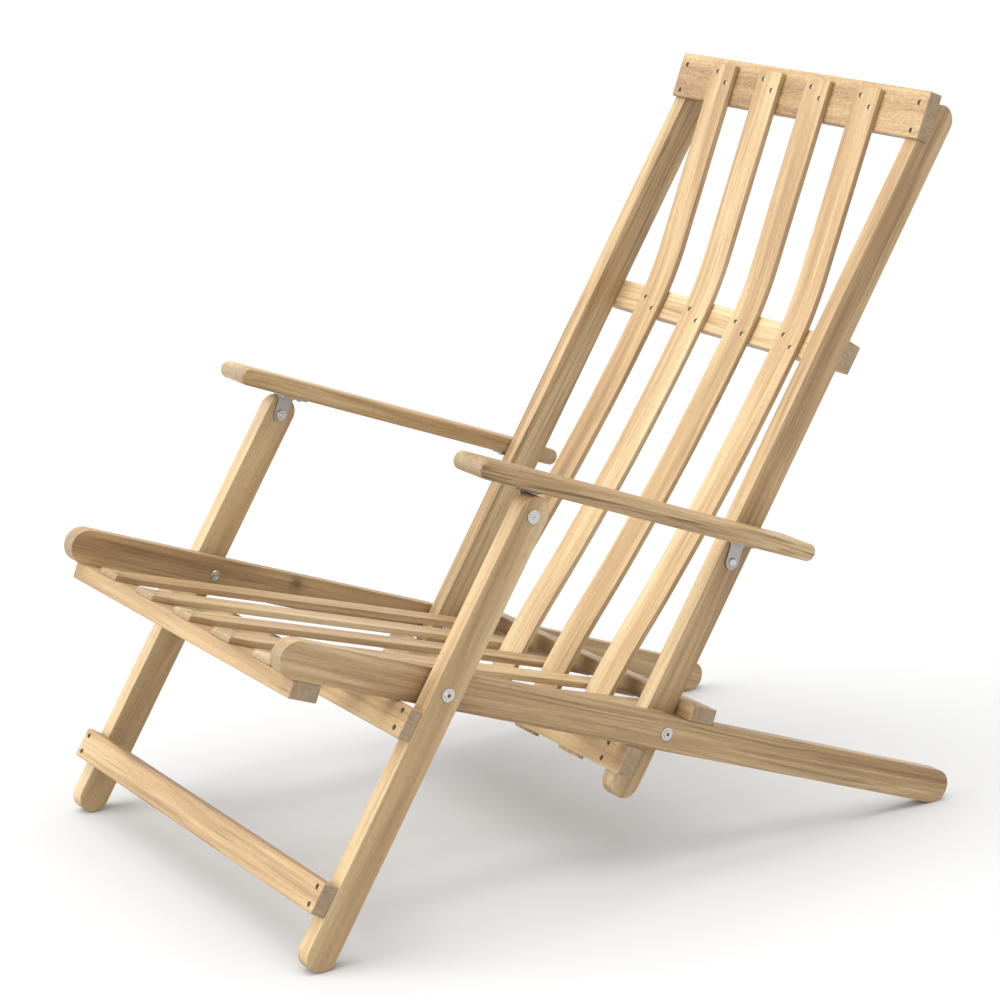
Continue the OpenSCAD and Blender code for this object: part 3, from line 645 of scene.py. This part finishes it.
# ---------------------------------------------------------------------------------------------
# Screws. Stainless, with low domed heads and cross recesses, sunk a little below the wood.
screw_steel = brushed_steel("screw_steel", (0.42, 0.41, 0.39), 0.28, 0.2)


def turned(profile, steps=28):
    """A turned solid: the profile runs from the axis at the top to the axis at the bottom."""
    bm = bmesh.new()
    rings = []
    for r, z in profile:
        if r == 0:
            rings.append([bm.verts.new((0, 0, z * MM))])
        else:
            turns = [2 * math.pi * k / steps for k in range(steps)]
            rings.append([bm.verts.new((r * math.cos(a) * MM, r * math.sin(a) * MM, z * MM))
                          for a in turns])
    for upper, lower in zip(rings, rings[1:]):
        for k in range(steps):
            j = (k + 1) % steps
            a, b = upper[k % len(upper)], upper[j % len(upper)]
            c, d = lower[j % len(lower)], lower[k % len(lower)]
            bm.faces.new(list(dict.fromkeys((a, b, c, d))))
    bmesh.ops.recalc_face_normals(bm, faces=bm.faces)
    return bm


def block(x, y, z0, z1):
    """A cutter of half sizes x and y."""
    bm = bmesh.new()
    size = Matrix.Diagonal((2 * x * MM, 2 * y * MM, (z1 - z0) * MM, 1))
    bmesh.ops.create_cube(bm, size=1, matrix=Matrix.Translation((0, 0, (z0 + z1) / 2 * MM)) @ size)
    return bm


def screw(head_r, head_t, shank_r, length, sink):
    """One screw with its head's top below z = 0 and a pointed end."""
    top, low = -sink, -sink - head_t
    profile = [(0, top), (head_r * 0.45, top - 0.05), (head_r * 0.75, top - 0.3),
               (head_r * 0.94, top - 0.8), (head_r, top - 1.3), (head_r, low), (shank_r, low),
               (shank_r, -length + 3), (0, -length)]
    made = turned(profile)
    for x, y in ((head_r * 0.55, head_r * 0.13), (head_r * 0.13, head_r * 0.55)):
        made = carve(made, block(x, y, top - 1.1, top + 1))
    return made


def copies(master, places):
    """One mesh of the master at every place."""
    mesh = bpy.data.meshes.new("master")
    master.to_mesh(mesh)
    master.free()
    bm = bmesh.new()
    for place in places:
        known = len(bm.verts)
        bm.from_mesh(mesh)
        bm.verts.ensure_lookup_table()
        bmesh.ops.transform(bm, matrix=place, verts=bm.verts[known:])
    bpy.data.meshes.remove(mesh)
    return bm


def fix_screws(name, node, on, body, spots, way, small):
    """Drives a set of like screws, each turned a little differently."""
    master = screw(3.1, 2.0, 1.75, 23, 0.8) if small else screw(3.4, 2.2, 2.0, 40, 1.5)
    places = [facing(at, way) @ Matrix.Rotation(0.7 + 1.9 * k, 4, "Z") for k, at in enumerate(spots)]
    add_piece(name, copies(master, places), on, screw_steel, body, node)


seat_slat_front = slat_pairs(SEAT_SLAT_X, FRONT_SCREW_S, SLAT_LOW)
seat_slat_rear = slat_pairs(SEAT_SLAT_X, REAR_SCREW_S, SLAT_HIGH)
for name, node, on, body, spots, way, small in (
        ("front_bar", "seat_front_bar", ON_SEAT, "seat_frame", front_bar_screws, DOWN, False),
        ("rear_bar", "seat_rear_bar", ON_SEAT, "seat_frame", rear_bar_screws, UP, False),
        ("seat_slat_front", "seat_slat_front", ON_SEAT, "seat_frame", seat_slat_front, UP, True),
        ("seat_slat_rear", "seat_slat_rear", ON_SEAT, "seat_frame", seat_slat_rear, DOWN, True),
        ("low_bar", "lower_leg_bar", ON_LEGS, "leg_frame", low_bar_screws, UP, False),
        ("up_bar", "upper_leg_bar", ON_LEGS, "leg_frame", up_bar_screws, UP, False),
        ("mid_bar", "back_mid_bar", ON_BACK, "back_frame", mid_bar_screws, DOWN, False),
        ("bottom_bar", "back_bottom_bar", ON_BACK, "back_frame", bottom_bar_screws, UP, False),
        ("top_bar", "back_top_bar", ON_CREST, "back_frame", top_bar_screws, UP, False),
        ("slat_top", "back_slat_top", ON_CREST, "back_frame", slat_top_screws, UP, True),
        ("slat_mid", "back_slat_mid", ON_BACK, "back_frame", slat_mid_screws, UP, True),
        ("slat_bottom", "back_slat_bottom", ON_BACK, "back_frame", slat_bottom_screws, DOWN, True)):
    fix_screws(name + "_fixings", node + "_screws", on, body, spots, way, small)
for hand, name in ((1, "left"), (-1, "right")):
    under_flange = ARM_N - PLATE_T - 2 - 0.01
    spots = [(hand * x, s + k * BAR_PAIR, under_flange)
             for x, s in ((271, 0), (268, SPACING)) for k in (-1, 1)]
    master = screw(3.5, 2.0, 2.0, 17.5, 0)
    add_piece(name + "_arm_fixings", copies(master, [facing(at, DOWN) for at in spots]), ON_ARMS,
              screw_steel, name + "_arm", name + "_arm_screws")

# ---------------------------------------------------------------------------------------------
# Pivots. Stainless bolts with flanged heads; on the seat rails the head has a hex socket, on the
# armrests it is ringed or plain. Dark plastic spacers keep the boards apart.
bolt_steel = brushed_steel("bolt_steel", (0.60, 0.595, 0.585), 0.22, 0.25)
plastic = Tree("spacer_plastic")
mottle = plastic.noise(plastic.put("TexCoord").outputs["Object"], (900, 900, 900), 2.0, 0.6)
mottle = mottle.outputs["Fac"]
dark, worn = (0.035, 0.033, 0.031, 1), (0.075, 0.072, 0.068, 1)
plastic.links.new(plastic.mix(mottle, dark, worn), plastic.shader.inputs["Base Color"])
dull = plastic.math("MULTIPLY_ADD", mottle, 0.2, 0.45)
plastic.links.new(dull, plastic.shader.inputs["Roughness"])
spacer_plastic = plastic.material

GAP, NUT_T = 0.3, 2.5


def bolt(rings, grip, socket=0.0, pit=0.0):
    """A bolt seen from its head: z = 0 is the head's underside, the shank runs down by grip and
    ends in a thread as long as the nut."""
    thread = []
    for k in range(4):
        z = -grip - NUT_T * k / 4
        thread += [(2.7, z - 0.1), (3.0, z - NUT_T / 8), (2.7, z - NUT_T / 4 + 0.05)]
    end = -grip - NUT_T
    shank = [(4, 0), (4, -grip)] + thread + [(2.4, end), (0, end)]
    made = turned(rings + shank, 40)
    top = rings[0][1]
    if socket:
        key = bmesh.new()
        bmesh.ops.create_cone(key, cap_ends=True, segments=6, radius1=socket * MM,
                              radius2=socket * MM, depth=8 * MM,
                              matrix=Matrix.Translation((0, 0, top * MM)))
        made = carve(made, key)
    if pit:
        up, low = top + 1, top - 1.2
        made = carve(made, turned([(0, up), (pit, up), (pit, low), (0, low)], 20))
    return made


def nut():
    """A low round nut against a bolt's shoulder; z = 0 is its seat."""
    return turned([(3.05, 0), (6.6, 0), (6.97, -0.4), (6.97, -NUT_T + 0.6), (6.4, -NUT_T),
                   (3.6, -NUT_T), (3.05, -NUT_T + 0.4), (3.05, 0)], 40)


def both_hands(x, s=0):
    """The same place on the left and the right, z pointing outwards."""
    return [facing((hand * x, s, 0), (hand, 0, 0)) for hand in (1, -1)]


flange = [(7.9, 1.3), (8.35, 1.1), (8.5, 0.7), (8.5, 0)]
flanged = [(0, 2.5), (4.6, 2.5), (5.1, 2.3), (5.27, 1.9), (5.3, 1.35)] + flange
ringed = [(0, 2.5), (2.9, 2.5), (3.3, 2.3), (3.4, 1.95), (5.6, 1.9), (6.0, 1.75), (6.1, 1.35)] + flange
plain = [(0, 2.2), (3.6, 2.15), (4.8, 1.8), (5.4, 1.1), (5.5, 0.5), (5.5, 0)]
leg_grip = LEG_OUT + GAP - SEAT_IN
back_grip = SEAT_OUT - BACK_IN + GAP
SPACER_T = 7.2
ring = [(4.05, SPACER_T), (8.7, SPACER_T), (9, SPACER_T - 0.3), (9, 0.3), (8.7, 0), (4.05, 0),
        (4.05, SPACER_T)]
for name, node, made, places, material, slot in (
        ("leg_pivots", "leg_bolts", bolt(flanged, leg_grip, 2.6), both_hands(LEG_OUT + GAP),
         bolt_steel, "stainless"),
        ("leg_pivot_nuts", "leg_nuts", nut(), both_hands(SEAT_IN), bolt_steel, "stainless"),
        ("back_pivots", "back_bolts", bolt(flanged, back_grip, 2.6), both_hands(SEAT_OUT, SPACING),
         bolt_steel, "stainless"),
        ("back_pivot_nuts", "back_nuts", nut(), both_hands(BACK_IN - GAP, SPACING),
         bolt_steel, "stainless"),
        ("leg_pivot_spacers", "leg_spacers", turned(ring, 40), both_hands(SEAT_OUT),
         spacer_plastic, "spacer"),
        ("back_pivot_spacers", "back_spacers", turned(ring, 40),
         both_hands(SEAT_IN - SPACER_T, SPACING), spacer_plastic, "spacer")):
    add_piece(name, copies(made, places), ON_SEAT, material, "seat_frame", node)
for hand, name in ((1, "left"), (-1, "right")):
    out = (hand, 0, 0)
    front = facing((hand * (LEG_OUT + GAP), 0, 0), out)
    front_bolt = bolt(ringed, LEG_OUT + GAP - FRONT_LEAF, pit=1.0)
    add_piece(name + "_arm_front_pivot", copies(front_bolt, [front]), ON_ARMS,
              bolt_steel, name + "_arm", name + "_arm_front_bolt")
    rear_x = REAR_LEAF + PLATE_T
    rear = facing((hand * rear_x, SPACING, 0), out)
    add_piece(name + "_arm_rear_pivot", copies(bolt(plain, rear_x - BACK_IN + GAP), [rear]), ON_ARMS,
              bolt_steel, name + "_arm", name + "_arm_rear_bolt")
    seats = [facing((hand * x, s, 0), out) for x, s in ((FRONT_LEAF, 0), (BACK_IN - GAP, SPACING))]
    add_piece(name + "_arm_pivot_nuts", copies(nut(), seats), ON_ARMS, bolt_steel, name + "_arm",
              name + "_arm_nuts")
